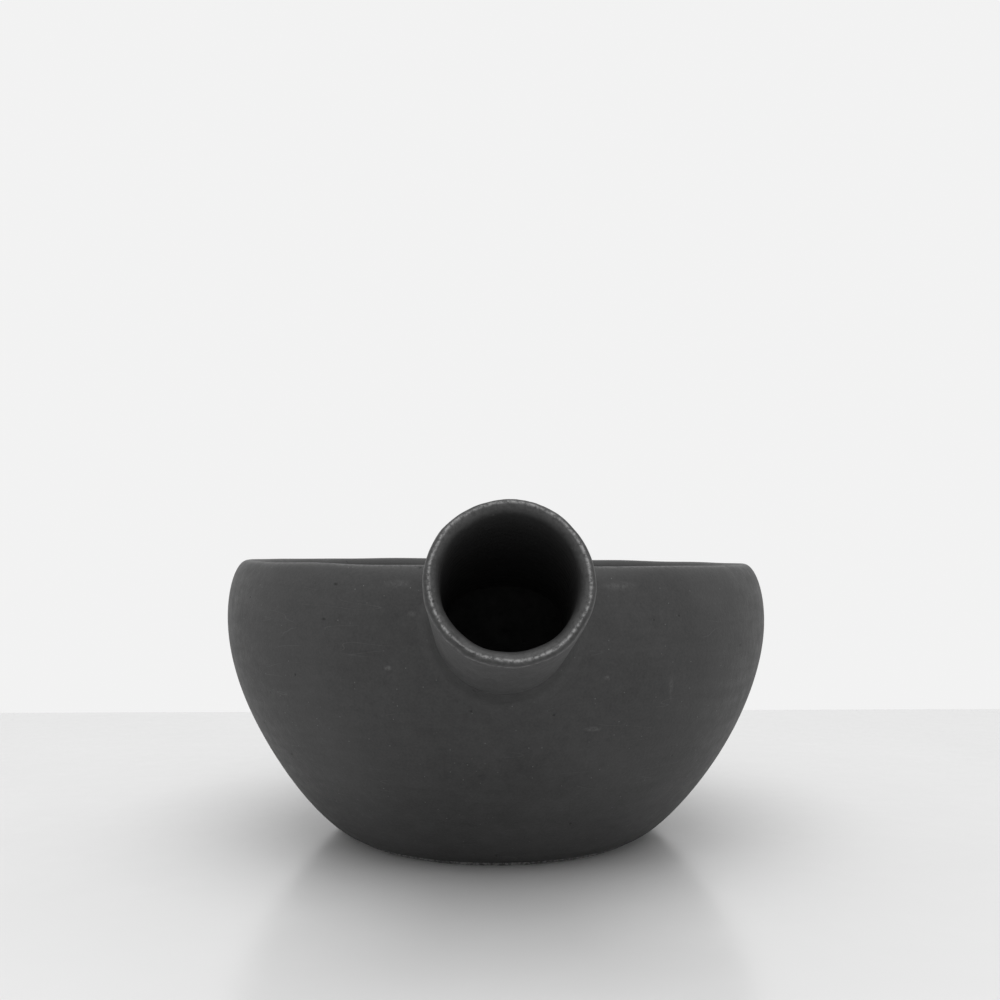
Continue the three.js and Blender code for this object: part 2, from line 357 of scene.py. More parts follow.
class StageSettings(bpy.types.PropertyGroup):
    """The table, the light and the camera."""
    table: grey("Table", "Colour of the pale table", 0.92)
    table_shine: number("Table Shine", "Strength of the table's reflection", 0.28)
    backdrop: grey("Backdrop", "Colour of the white backdrop", 0.89)
    table_back: length("Table Back", "Distance of the table's far edge behind the pot", 255)
    table_front: length("Table Front", "Distance of the table's near edge before the pot", 900)
    table_half_width: length("Table Half Width", "Half the width of the table", 900)
    table_thickness: length("Table Thickness", "Thickness of the table", 20)
    table_round: length("Table Round", "Rounding of the table's edges", 2)
    world_light: number("World Light", "Strength of the white room's light", 0.62)
    lamp_power: number("Lamp Power", "Power of the soft lamp above, in watts", 4.5)
    lamp_size: length("Lamp Size", "Width of the soft lamp", 900)
    lamp_height: length("Lamp Height", "Height of the soft lamp", 1000)
    lamp_front: length("Lamp Front", "How far the soft lamp hangs before the pot", 350)
    camera_distance: length("Camera Distance", "From the pot's axis to the camera", 374.7)
    camera_height: length("Camera Height", "Height of the camera", 94.8)
    camera_side: angle("Camera Side", "How far the camera stands left of the handle's line", 1.26)
    camera_turn: angle("Camera Turn", "How far the camera looks to the right", 1.466)
    camera_pitch: angle("Camera Pitch", "How far the camera looks up", 2.44)
    lens: number("Lens", "Focal length in millimetres on a 36 mm sensor", 38.97)


# Curves and small helpers

def smooth_share(value, low, high):
    """Runs smoothly from 0 at low to 1 at high."""
    share = min(max((value - low) / (high - low), 0), 1)
    return share * share * (3 - 2 * share)


def bell(distance, width):
    """Falls smoothly from 1 at no distance to nearly 0 at twice the width."""
    return math.exp(-(distance / width) ** 2)


def on_line(line, distance):
    """The strength of a painted line of wear, highlight or shade at a distance from its middle."""
    return line.strength * bell(distance, line.width)


def bezier(start, first, second, end, steps):
    """Points along a cubic curve, without its start."""
    points = []
    for step in range(1, steps + 1):
        share = step / steps
        rest = 1 - share
        points.append(start * rest ** 3 + first * 3 * rest ** 2 * share
                      + second * 3 * rest * share ** 2 + end * share ** 3)
    return points


def quarter(centre, radii, start, steps):
    """Points along a quarter of an ellipse from a start angle, without its start."""
    points = []
    for step in range(1, steps + 1):
        turn = start + math.pi / 2 * step / steps
        points.append(Vector((centre.x + radii.x * math.cos(turn), centre.y + radii.y * math.sin(turn))))
    return points


def straight(start, end, steps):
    """Points along a straight line, without its start."""
    return [start.lerp(end, step / steps) for step in range(1, steps + 1)]


# The bowl's wall

def outer_profile(bowl):
    """The wall's outer line, from the foot over the belly to the rim's crown."""
    foot = Vector((bowl.foot_diameter / 2, bowl.foot_height))
    slope = Vector((math.cos(bowl.foot_slope), math.sin(bowl.foot_slope)))
    belly = Vector((bowl.belly_diameter / 2, bowl.belly_height))
    crown = Vector((bowl.crown_diameter / 2, bowl.height))
    under_belly = belly - Vector((0, bowl.belly_fullness))
    lower = bezier(foot, foot + slope * bowl.foot_fullness, under_belly, belly, LONG_CURVE_STEPS)
    shoulder_size = Vector((belly.x - crown.x, crown.y - belly.y))
    shoulder = quarter(Vector((crown.x, belly.y)), shoulder_size, 0, SHOULDER_STEPS)
    return [foot] + lower + shoulder


def inner_profile(bowl):
    """The wall's inner line, from the rim's crown down to the corner of the floor."""
    crown = Vector((bowl.crown_diameter / 2, bowl.height))
    opening = Vector((bowl.opening_diameter / 2, bowl.height - bowl.rim_round))
    belly = Vector((bowl.belly_diameter / 2 - bowl.wall_thickness, bowl.belly_height))
    corner = Vector((bowl.foot_diameter / 2 - bowl.foot_width, bowl.floor_height))
    down = Vector((0, -1))
    lip_size = Vector((crown.x - opening.x, bowl.rim_round))
    lip = quarter(Vector((crown.x, opening.y)), lip_size, math.pi / 2, SHORT_CURVE_STEPS)
    upper = bezier(opening, opening + down * bowl.shoulder_fullness, belly - down * bowl.shoulder_fullness,
                   belly, SHORT_CURVE_STEPS)
    before_corner = corner + Vector((bowl.floor_corner, 0))
    lower = bezier(belly, belly + down * bowl.belly_fullness, before_corner, corner, LONG_CURVE_STEPS)
    return lip + upper + lower


class OuterWall:
    """The wall's outer surface: its outer line turned round the vertical axis."""

    def __init__(self, bowl):
        self.points = outer_profile(bowl)
        self.heights = [point.y for point in self.points]
        self.top = self.heights[-1] - CROWN_MARGIN

    def radius(self, height):
        """The radius at a height, held to the ends of the line."""
        after = min(max(bisect_left(self.heights, height), 1), len(self.heights) - 1)
        low = self.points[after - 1]
        high = self.points[after]
        share = min(max((height - low.y) / (high.y - low.y), 0), 1)
        return low.x + (high.x - low.x) * share

    def place(self, point):
        """The point of the wall beside a point, at the same height."""
        height = min(point.z, self.top)
        flat = Vector((point.x, point.y)).normalized() * self.radius(height)
        return Vector((flat.x, flat.y, height))

    def normal(self, point):
        """The direction that points out of the wall."""
        slope = (self.radius(point.z + SLOPE_STEP) - self.radius(point.z - SLOPE_STEP)) / (2 * SLOPE_STEP)
        flat = Vector((point.x, point.y)).normalized()
        return Vector((flat.x, flat.y, -slope)).normalized()

    def holds(self, point):
        """Whether a point lies behind the outer surface."""
        return math.hypot(point.x, point.y) < self.radius(point.z)


class TubeSeat:
    """Where the tube stands and where its lines meet the wall."""

    def __init__(self, scene):
        handle = scene.pot_handle
        self.handle = handle
        self.wall = OuterWall(scene.pot_bowl)
        self.side = Vector((1, 0, 0))
        self.up = Vector((0, math.sin(handle.tilt), math.cos(handle.tilt)))
        self.out = Vector((0, -math.cos(handle.tilt), math.sin(handle.tilt)))
        root_height = scene.pot_bowl.height - handle.axis_below_rim
        root = Vector((0, -self.wall.radius(root_height), root_height))
        self.mouth = root + self.out * handle.tube_length
        self.depths = {}

    def outer_radius(self, depth):
        """The tube's outer radius at a depth behind the mouth."""
        share = depth / self.handle.tube_length
        return (self.handle.mouth_diameter * (1 - share) + self.handle.root_diameter * share) / 2

    def point(self, turn, radius, depth):
        """A point of the tube, whose upper half is pressed down towards the wall."""
        across = radius * math.cos(turn)
        above = radius * math.sin(turn)
        if above > 0:
            share = depth / self.handle.tube_length
            above *= 1 - self.handle.press * share / self.outer_radius(depth)
        return self.mouth + self.side * across + self.up * above - self.out * depth

    def wall_depth(self, turn, radius):
        """How far behind the mouth a line of the tube meets the wall."""
        key = (round(turn, 5), round(radius, 6))
        if key not in self.depths:
            near = TUBE_SEARCH_START * self.handle.tube_length
            far = TUBE_SEARCH_END * self.handle.tube_length
            for _ in range(SEARCH_HALVINGS):
                middle = (near + far) / 2
                if self.wall.holds(self.point(turn, radius, middle)):
                    far = middle
                else:
                    near = middle
            self.depths[key] = near
        return self.depths[key]

    def from_axis(self, point):
        """The distance of a point from the tube's axis, and its depth behind the mouth."""
        offset = point - self.mouth
        depth = -offset.dot(self.out)
        return (offset + self.out * depth).length, depth


# The hand-made unevenness, and finishing a piece

def hand_made(point, scene):
    """Moves a point of the true shape to where the potter's hand left it."""
    work = scene.pot_handwork
    bowl = scene.pot_bowl
    moved = point.copy()
    flat = Vector((point.x, point.y, 0))
    if flat.length > MM:
        moved += flat.normalized() * work.bulge * noise.noise(point / work.bulge_size)
    moved.x += work.lean * bell(point.z - work.lean_height, work.lean_spread)
    moved.z -= point.x * math.tan(work.rim_tilt) * smooth_share(point.z, work.rim_tilt_start, bowl.height)
    rim_share = smooth_share(point.z, RIM_WAVE_START * bowl.height, bowl.height)
    moved.z += work.rim_wave * rim_share * noise.noise(flat / work.rim_wave_size)
    return moved


def turned(profile, segments, closed):
    """Turns a line of radii and heights round the vertical axis into a closed skin."""
    bm = bmesh.new()
    corners = [bm.verts.new((point.x, 0, point.y)) for point in profile]
    edges = [bm.edges.new(pair) for pair in zip(corners, corners[1:])]
    if closed:
        edges.append(bm.edges.new((corners[-1], corners[0])))
    bmesh.ops.spin(bm, geom=corners + edges, cent=(0, 0, 0), axis=(0, 0, 1),
                   angle=math.tau, steps=segments, use_merge=True)
    bmesh.ops.remove_doubles(bm, verts=bm.verts[:], dist=MERGE_DISTANCE)
    return bm


def paint_layers(bm):
    """Adds the two layers that tell the clay where it is worn or has a painted highlight, and where it has
    painted shade.
    """
    return bm.verts.layers.float.new("wear_and_highlight"), bm.verts.layers.float.new("painted_shade")


def finish_piece(bm, name, node, material):
    """Makes the object of a finished shape, puts it under the root body and hides the CAD node that it stands
    for.
    """
    bmesh.ops.recalc_face_normals(bm, faces=bm.faces[:])
    open_edges = sum(1 for edge in bm.edges if not edge.is_manifold)
    if open_edges:
        raise RuntimeError(f"{name} has {open_edges} open edges")
    for face in bm.faces:
        face.smooth = True
    old = bpy.data.objects.get(name)
    if old:
        bpy.data.objects.remove(old)
    mesh = bpy.data.meshes.new(name)
    bm.to_mesh(mesh)
    bm.free()
    mesh.materials.append(material)
    piece = bpy.data.objects.new(name, mesh)
    bpy.context.scene.collection.objects.link(piece)
    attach(piece, "root")
    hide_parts(node)
    return piece


# Materials

def add_node(tree, kind, inputs=None, **options):
    """Adds a node, sets its options, then links or sets its inputs."""
    made = tree.nodes.new(kind)
    for name, value in options.items():
        setattr(made, name, value)
    for name, value in (inputs or {}).items():
        if isinstance(value, bpy.types.NodeSocket):
            tree.links.new(value, made.inputs[name])
        else:
            made.inputs[name].default_value = value
    return made


def maths(tree, operation, first, second=0.0):
    """Joins two values by one operation."""
    return add_node(tree, "ShaderNodeMath", {0: first, 1: second}, operation=operation).outputs[0]


def vector_maths(tree, operation, first, second):
    """Joins two vectors by one operation."""
    return add_node(tree, "ShaderNodeVectorMath", {0: first, 1: second}, operation=operation).outputs[0]


def ramp(tree, value, shape):
    """Maps a value by a ramp."""
    inputs = {"Value": value, "From Min": shape.low, "From Max": shape.high,
              "To Min": shape.start, "To Max": shape.end}
    return add_node(tree, "ShaderNodeMapRange", inputs).outputs["Result"]


def cloud(tree, place, grain):
    """A soft noise."""
    inputs = {"Vector": place, "Scale": grain.per_metre, "Detail": grain.detail, "Roughness": grain.roughness}
    return add_node(tree, "ShaderNodeTexNoise", inputs).outputs["Fac"]


def blend(tree, share, first, second):
    """Mixes two colours."""
    made = add_node(tree, "ShaderNodeMix", {0: share, 6: first, 7: second}, data_type="RGBA")
    return made.outputs[2]


def swing(tree, value, amount):
    """Turns noise round one half into a swing round nothing."""
    return maths(tree, "MULTIPLY", maths(tree, "SUBTRACT", value, 0.5), amount)


def total(tree, values):
    """Adds up several values."""
    result = values[0]
    for value in values[1:]:
        result = maths(tree, "ADD", result, value)
    return result


def spots(tree, place, kind):
    """Round spots in some of the cells of a random pattern."""
    cells = add_node(tree, "ShaderNodeTexVoronoi", {"Vector": place, "Scale": kind.per_metre})
    chance = add_node(tree, "ShaderNodeSeparateColor", {"Color": cells.outputs["Color"]}).outputs["Red"]
    near = ramp(tree, cells.outputs["Distance"], Ramp(kind.size, kind.size * SPOT_CORE, 0.0, 1.0))
    chosen = ramp(tree, chance, Ramp(1 - kind.share, 1 - kind.share + SPOT_CHANCE_STEP, 0.0, 1.0))
    return maths(tree, "MULTIPLY", near, chosen)


def clay_textures(tree, place):
    """The clay's textures by name."""
    drawn_out = vector_maths(tree, "MULTIPLY", place, STROKE_STRETCH)
    lines = maths(tree, "ABSOLUTE", maths(tree, "SUBTRACT", cloud(tree, drawn_out, SCRATCH_LINES), 0.5))
    thin = ramp(tree, lines, SCRATCH_WIDTH)
    rare = ramp(tree, cloud(tree, place, SCRATCH_PLACES), SCRATCH_RARITY)
    return {
        "clouds": cloud(tree, place, CLOUDS),
        "mottle": cloud(tree, place, MOTTLE),
        "grain": cloud(tree, place, FINE_GRAIN),
        "grit": cloud(tree, place, GRIT),
        "strokes": cloud(tree, drawn_out, STROKES),
        "flecks": spots(tree, place, FLECKS),
        "pits": spots(tree, place, PITS),
        "scratches": maths(tree, "MULTIPLY", thin, rare),
    }


def clay_group():
    """The shared node group of the fired clay: its colour, roughness and fine relief in millimetres."""
    name = "Fired Clay"
    if name in bpy.data.node_groups:
        return bpy.data.node_groups[name]
    tree = bpy.data.node_groups.new(name, "ShaderNodeTree")
    for label in ("Clay", "Worn Clay", "Soot Colour"):
        tree.interface.new_socket(label, in_out="INPUT", socket_type="NodeSocketColor")
    for label in ("Skin Roughness", "Wear And Highlight", "PaintedShade", "Marks And Shadow"):
        tree.interface.new_socket(label, in_out="INPUT", socket_type="NodeSocketFloat")
    tree.interface.new_socket("Color", in_out="OUTPUT", socket_type="NodeSocketColor")
    tree.interface.new_socket("Roughness", in_out="OUTPUT", socket_type="NodeSocketFloat")
    tree.interface.new_socket("Height", in_out="OUTPUT", socket_type="NodeSocketFloat")
    given = tree.nodes.new("NodeGroupInput").outputs
    result = tree.nodes.new("NodeGroupOutput").inputs
    textures = clay_textures(tree, tree.nodes.new("ShaderNodeTexCoord").outputs["Object"])

    swings = [swing(tree, textures[name], amount) for name, amount in TONE.items()]
    tone = total(tree, [maths(tree, "ADD", swings[0], 1.0)] + swings[1:])
    toned = add_node(tree, "ShaderNodeVectorMath", {0: given["Clay"], "Scale": tone}, operation="SCALE")
    # Wear, and painted highlights on edges, lighten the clay towards the worn colour
    patchy = maths(tree, "MULTIPLY", given["Wear And Highlight"], ramp(tree, textures["grit"], WORN_PATCHES))
    rubbed = blend(tree, patchy, toned.outputs[0], given["Worn Clay"])
    scratched = maths(tree, "MULTIPLY", textures["scratches"], SCRATCH_SHARE)
    light = maths(tree, "MULTIPLY", maths(tree, "MAXIMUM", textures["flecks"], scratched), FLECK_LIGHTNESS)
    flecked = blend(tree, light, rubbed, given["Worn Clay"])
    # Pits, dark specks and the painted shadow of the handle darken the clay
    hollow = maths(tree, "MAXIMUM", maths(tree, "MULTIPLY", textures["pits"], PIT_DARKNESS), given["Marks And Shadow"])
    marked = blend(tree, hollow, flecked, given["Soot Colour"])
    # Painted shade darkens the clay towards the shade colour
    shaded = blend(tree, given["PaintedShade"], marked, given["Soot Colour"])
    tree.links.new(shaded, result["Color"])

    roughness = [given["Skin Roughness"]]
    roughness += [swing(tree, textures[name], amount) for name, amount in ROUGHNESS.items()]
    roughness.append(maths(tree, "MULTIPLY", patchy, WORN_ROUGHNESS))
    roughness.append(maths(tree, "MULTIPLY", given["PaintedShade"], SHADED_ROUGHNESS))
    tree.links.new(total(tree, roughness), result["Roughness"])

    relief = [maths(tree, "MULTIPLY", textures[name], height) for name, height in RELIEF.items()]
    gritty = maths(tree, "MULTIPLY", textures["grit"], patchy)
    relief.append(maths(tree, "MULTIPLY", gritty, GRITTY_RELIEF))
    tree.links.new(total(tree, relief), result["Height"])
    return tree


def seen_place(scene, wall, column, row):
    """The point of the wall that shows at a place in the front view, and the size of a pixel there."""
    stage = scene.pot_stage
    pixels = stage.lens / SENSOR_WIDTH * PHOTO_WIDTH
    ray = Vector(((column - PHOTO_WIDTH / 2) / pixels, (PHOTO_WIDTH / 2 - row) / pixels, -1))
    ray.rotate(camera_turn(stage))
    start = camera_place(stage)
    near = SIGHT_START * stage.camera_distance
    far = stage.camera_distance
    while near < far and not wall.holds(start + ray * near):
        near += SIGHT_STEP
    if near >= far:
        raise RuntimeError(f"no wall shows at column {column}, row {row}")
    return start + ray * near, near / pixels


def mark_mask(tree, scene, place, marks):
    """A mask of single marks on the wall, the strongest of them at each place."""
    wall = OuterWall(scene.pot_bowl)
    mask = None
    for mark in marks:
        centre, pixel = seen_place(scene, wall, mark.column, mark.row)
        half_size = (mark.half_width * pixel, MARK_DEPTH, mark.half_height * pixel)
        offset = vector_maths(tree, "DIVIDE", vector_maths(tree, "SUBTRACT", place, centre), half_size)
        distance = add_node(tree, "ShaderNodeVectorMath", {0: offset}, operation="LENGTH").outputs["Value"]
        spot = ramp(tree, distance, Ramp(1.0, MARK_CORE, 0.0, mark.strength))
        mask = spot if mask is None else maths(tree, "MAXIMUM", mask, spot)
    return mask


def clay_material(scene, slot, bump, marked=False):
    """Makes the clay of one piece from the shared node group."""
    clay = scene.pot_clay
    material = bpy.data.materials.new(slot)
    material.use_nodes = True
    tree = material.node_tree
    shader = tree.nodes["Principled BSDF"]
    shader.inputs["Metallic"].default_value = 0
    shader.inputs["Specular IOR Level"].default_value = clay.specular
    wear_and_highlight = add_node(tree, "ShaderNodeAttribute", attribute_name="wear_and_highlight").outputs["Fac"]
    painted_shade = add_node(tree, "ShaderNodeAttribute", attribute_name="painted_shade").outputs["Fac"]
    inputs = {"Clay": clay.clay, "Worn Clay": clay.worn, "Soot Colour": clay.painted_shade,
              "Skin Roughness": clay.roughness, "Wear And Highlight": wear_and_highlight, "PaintedShade": painted_shade}
    if marked:
        place = tree.nodes.new("ShaderNodeTexCoord").outputs["Object"]
        inputs["Wear And Highlight"] = maths(tree, "MAXIMUM", wear_and_highlight, mark_mask(tree, scene, place, LIGHT_MARKS))
        # Dark specks in the clay, and the painted shadow of the handle
        inputs["Marks And Shadow"] = mark_mask(tree, scene, place, DARK_MARKS_AND_SHADOW)
    skin = add_node(tree, "ShaderNodeGroup", inputs, node_tree=clay_group())
    bumps = {"Height": skin.outputs["Height"], "Distance": MM, "Strength": bump}
    relief = add_node(tree, "ShaderNodeBump", bumps)
    tree.links.new(skin.outputs["Color"], shader.inputs["Base Color"])
    tree.links.new(skin.outputs["Roughness"], shader.inputs["Roughness"])
    tree.links.new(relief.outputs["Normal"], shader.inputs["Normal"])
    return material


# Operators, one for each piece and one for the stage

class COOKINGPOT_OT_wall(bpy.types.Operator):
    """Turns the bowl's wall and works it into its hand-made shape"""
    bl_idname = "cooking_pot.wall"
    bl_label = "Pot Wall"

    def execute(self, context):
        scene = context.scene
        bowl = scene.pot_bowl
        seat = TubeSeat(scene)
        inner_foot = Vector((bowl.foot_diameter / 2 - bowl.foot_width, bowl.foot_height))
        profile = outer_profile(bowl) + inner_profile(bowl) + [inner_foot]
        bm = turned(profile, bowl.segments, True)
        wear_and_highlight, painted_shade = paint_layers(bm)
        bore_radius = scene.pot_handle.bore_diameter / 2
        for vertex in bm.verts:
            radius = math.hypot(vertex.co.x, vertex.co.y)
            from_crown = math.hypot(radius - bowl.crown_diameter / 2, vertex.co.z - bowl.height)
            # Painted highlight along the rim's crown
            vertex[wear_and_highlight] = on_line(RIM_HIGHLIGHT, from_crown)
            from_axis, depth = seat.from_axis(vertex.co)
            # Painted shade on the wall where the bore ends
            if vertex.co.y < 0 and depth < scene.pot_handle.tube_length + BORE_END_DEPTH:
                vertex[painted_shade] = 1 - smooth_share(from_axis, bore_radius + BORE_END_FADE_START,
                                                bore_radius + BORE_END_FADE_END)
            vertex.co = hand_made(vertex.co, scene)
        material = clay_material(scene, "body_clay", FULL_BUMP, marked=True)
        finish_piece(bm, "Pot_Wall", "pot_body", material)
        return {"FINISHED"}


class COOKINGPOT_OT_slab(bpy.types.Operator):
    """Turns the flat slab that the wall stands on"""
    bl_idname = "cooking_pot.slab"
    bl_label = "Foot Slab"

    def execute(self, context):
        scene = context.scene
        slab = scene.pot_slab
        bowl = scene.pot_bowl
        radius = slab.diameter / 2
        inner = bowl.foot_diameter / 2 - bowl.foot_width + slab.overlap
        rounding = Vector((slab.edge_round, slab.edge_round))
        centre = Vector((radius - slab.edge_round, slab.edge_round))
        profile = [Vector((0, 0))]
        upper_centre = Vector((centre.x, slab.edge_height - slab.edge_round))
        edge_top = Vector((centre.x, slab.edge_height))
        step_foot = Vector((inner, slab.edge_height))
        step_top = Vector((inner, slab.thickness))
        profile += straight(Vector((0, 0)), Vector((centre.x, 0)), FLAT_STEPS)
        profile += quarter(centre, rounding, -math.pi / 2, CORNER_STEPS)
        profile += quarter(upper_centre, rounding, 0, CORNER_STEPS)
        profile += straight(edge_top, step_foot, SLAB_STEP_STEPS)
        profile += straight(step_foot, step_top, SLAB_STEP_STEPS)
        profile += straight(step_top, Vector((0, slab.thickness)), FLAT_STEPS)
        bm = turned(profile, bowl.segments, False)
        wear_and_highlight, painted_shade = paint_layers(bm)
        for vertex in bm.verts:
            from_edge = radius - math.hypot(vertex.co.x, vertex.co.y)
            # Painted highlight along the slab's edge
            vertex[wear_and_highlight] = on_line(SLAB_EDGE_HIGHLIGHT, from_edge)
            vertex.co = hand_made(vertex.co, scene)
        material = clay_material(scene, "base_clay", SLAB_BUMP)
        piece = finish_piece(bm, "Foot_Slab", "base_disc", material)
        for face in piece.data.polygons:
            face.use_smooth = abs(face.normal.z) < FLAT_NORMAL
        return {"FINISHED"}


class COOKINGPOT_OT_tube(bpy.types.Operator):
    """Turns the hollow tube, fits its inner end to the wall and wears its lip"""
    bl_idname = "cooking_pot.tube"
    bl_label = "Handle Tube"

    def execute(self, context):
        scene = context.scene
        handle = scene.pot_handle
        seat = TubeSeat(scene)
        root = Vector((handle.root_diameter / 2, -handle.tube_length))
        edge = Vector((handle.mouth_diameter / 2, -handle.lip_outer_depth))
        lip = Vector((handle.lip_diameter / 2, 0))
        bore = Vector((handle.bore_diameter / 2, -handle.lip_inner_depth))
        bore_end = Vector((bore.x, -handle.tube_length))
        profile = [root] + straight(root, edge, TUBE_STEPS)
        outer_size = Vector((edge.x - lip.x, -edge.y))
        inner_size = Vector((lip.x - bore.x, -bore.y))
        profile += quarter(Vector((lip.x, edge.y)), outer_size, 0, LIP_STEPS)
        profile += quarter(Vector((lip.x, bore.y)), inner_size, math.pi / 2, LIP_STEPS)
        profile += straight(bore, bore_end, BORE_STEPS)
        bm = turned(profile, handle.segments, True)
        wear_and_highlight, painted_shade = paint_layers(bm)
        for vertex in bm.verts:
            self.paint(vertex, handle, wear_and_highlight, painted_shade)
            vertex.co = hand_made(self.seated(vertex.co, handle, seat), scene)
        material = clay_material(scene, "handle_clay", FULL_BUMP)
        finish_piece(bm, "Handle_Tube", "tube_handle", material)
        return {"FINISHED"}

    def paint(self, vertex, handle, wear_and_highlight, painted_shade):
        """Wears the lip's foremost line, paints a highlight on its outer edge and a band of shade on its
        face, and paints shade deep in the bore.
        """
        radius = math.hypot(vertex.co.x, vertex.co.y)
        depth = -vertex.co.z
        lip_radius = handle.lip_diameter / 2
        from_lip = math.hypot(radius - lip_radius, depth)
        edge_radius = handle.mouth_diameter / 2 - LIP_EDGE_INSET
        from_edge = math.hypot(radius - edge_radius, depth - LIP_EDGE_DEPTH)
        shade_band_radius = lip_radius + LIP_SHADE_OUTSIDE
        from_shade_band = math.hypot(radius - shade_band_radius, depth - LIP_SHADE_DEPTH)
        # Wear on the lip's crown and round it, and a painted highlight on the lip's outer rounding
        vertex[wear_and_highlight] = max(TUBE_WEAR, on_line(LIP_WEAR, from_lip), on_line(LIP_WEAR_AROUND, from_lip),
                           on_line(LIP_EDGE_HIGHLIGHT, from_edge))
        # Painted shade on the lip's face
        vertex[painted_shade] = on_line(LIP_FACE_SHADE, from_shade_band)
        # Painted shade deep in the bore, where little light reaches
        if radius < lip_radius:
            vertex[painted_shade] = sum(part.share * smooth_share(depth, part.start, part.full) for part in BORE_SHADE)

    def seated(self, point, handle, seat):
        """Takes a point of the straight tube to its place on the pot."""
        turn = math.atan2(point.y, point.x)
        radius = math.hypot(point.x, point.y)
        depth = -point.z
        outside = radius >= handle.lip_diameter / 2
        root_radius = (handle.root_diameter if outside else handle.bore_diameter) / 2
        end = seat.wall_depth(turn, root_radius) + handle.sink
        share = max(depth - handle.lip_inner_depth, 0) / (handle.tube_length - handle.lip_inner_depth)
        near = 1 - smooth_share(depth, LIP_WORK_START, LIP_WORK_END)
        seated_depth = depth + share * (end - handle.tube_length)
        seated_depth += near * handle.lip_wave * noise.noise(point / LIP_WAVE_SIZE)
        seated_depth += near * handle.lip_grit * noise.noise(point / LIP_GRIT_SIZE)
        radius += near * handle.lip_wave * noise.noise(point / LIP_SWELL_SIZE + LIP_SWELL_OFFSET)
        for chip in LIP_CHIPS:
            chip_turn = math.radians(chip.angle)
            chip_radius = handle.lip_diameter / 2 + CHIP_OUTSIDE_LIP
            chip_place = Vector((math.cos(chip_turn), math.sin(chip_turn), 0)) * chip_radius
            dent = chip.depth * bell((point - chip_place).length, chip.size)
            seated_depth += dent
            radius -= dent * (CHIP_SHARE_OUTSIDE if outside else CHIP_SHARE_INSIDE)
        if not outside:
            ring = math.sin(math.tau * depth / handle.ring_pitch) * handle.ring_height
            radius += ring * smooth_share(depth, RINGS_START, RINGS_FULL)
        return seat.point(turn, radius, seated_depth)


class COOKINGPOT_OT_fillet(bpy.types.Operator):
    """Presses a coil of clay round the joint of tube and wall"""
    bl_idname = "cooking_pot.fillet"
    bl_label = "Luting Fillet"

    def execute(self, context):
        scene = context.scene
        fillet = scene.pot_fillet
        seat = TubeSeat(scene)
        root_radius = scene.pot_handle.root_diameter / 2
        start = -fillet.sink
        profile = []
        for step in range(FILLET_STEPS + 1):
            across = start + (fillet.reach - start) * (step / FILLET_STEPS) ** FILLET_CROWDING
            profile.append(Vector((root_radius + across, self.surface(across, fillet))))
        bottom = -fillet.buried
        profile.append(Vector((root_radius + fillet.reach * FILLET_HIDDEN_SHARE, bottom)))
        profile.append(Vector((root_radius, bottom)))
        profile.append(Vector((root_radius - fillet.buried, bottom / 2)))
        profile.append(Vector((root_radius - fillet.buried, fillet.height / 2)))
        bm = turned(profile, scene.pot_handle.segments, True)
        wear_and_highlight, painted_shade = paint_layers(bm)
        for vertex in bm.verts:
            across = math.hypot(vertex.co.x, vertex.co.y) - root_radius
            # Painted highlight on the fillet's raised ring
            vertex[wear_and_highlight] = FILLET_RING_HIGHLIGHT * bell(across - fillet.ring_distance, fillet.ring_width)
            # Painted shade in the fillet's hollow next to the tube
            vertex[painted_shade] = FILLET_HOLLOW_SHADE * bell(across - fillet.hollow, fillet.hollow)
            vertex.co = hand_made(self.seated(vertex.co, fillet, seat, root_radius), scene)
        material = clay_material(scene, "luting_clay", FULL_BUMP)
        finish_piece(bm, "Luting_Fillet", "luting_coil", material)
        return {"FINISHED"}

    def surface(self, across, fillet):
        """The height of the clay over the wall at a distance from the tube."""
        hollow = fillet.height * math.exp(-across / fillet.hollow)
        ring = fillet.ring_height * bell(across - fillet.ring_distance, fillet.ring_width)
        return hollow + ring - fillet.sink

    def seated(self, point, fillet, seat, root_radius):
        """Takes a point of the straight ring to its place in the corner of tube and wall."""
        turn = math.atan2(point.y, point.x)
        across = math.hypot(point.x, point.y) - root_radius
        joint = seat.point(turn, root_radius, seat.wall_depth(turn, root_radius))
        room = seat.wall.heights[-1] - joint.z
        reach_share = min(1, fillet.room_share * room / fillet.reach)
        round_place = Vector((math.cos(turn), math.sin(turn), 0))
        uneven = 1 + FILLET_UNEVENNESS * noise.noise(round_place * FILLET_WAVES)
        outward = seat.side * math.cos(turn) + seat.up * math.sin(turn)
        normal = seat.wall.normal(joint)
        along = (outward - normal * outward.dot(normal)).normalized()
        foot = seat.wall.place(joint + along * across * reach_share * uneven)
        lift = seat.out.lerp(seat.wall.normal(foot), smooth_share(across, 0, FILLET_TURN)).normalized()
        return foot + lift * point.z


def camera_turn(stage):
    """How the camera is turned."""
    return Euler((math.pi / 2 + stage.camera_pitch, 0, -stage.camera_turn))


def camera_place(stage):
    """Where the camera stands."""
    return Vector((-stage.camera_distance * math.sin(stage.camera_side),
                   -stage.camera_distance * math.cos(stage.camera_side), stage.camera_height))


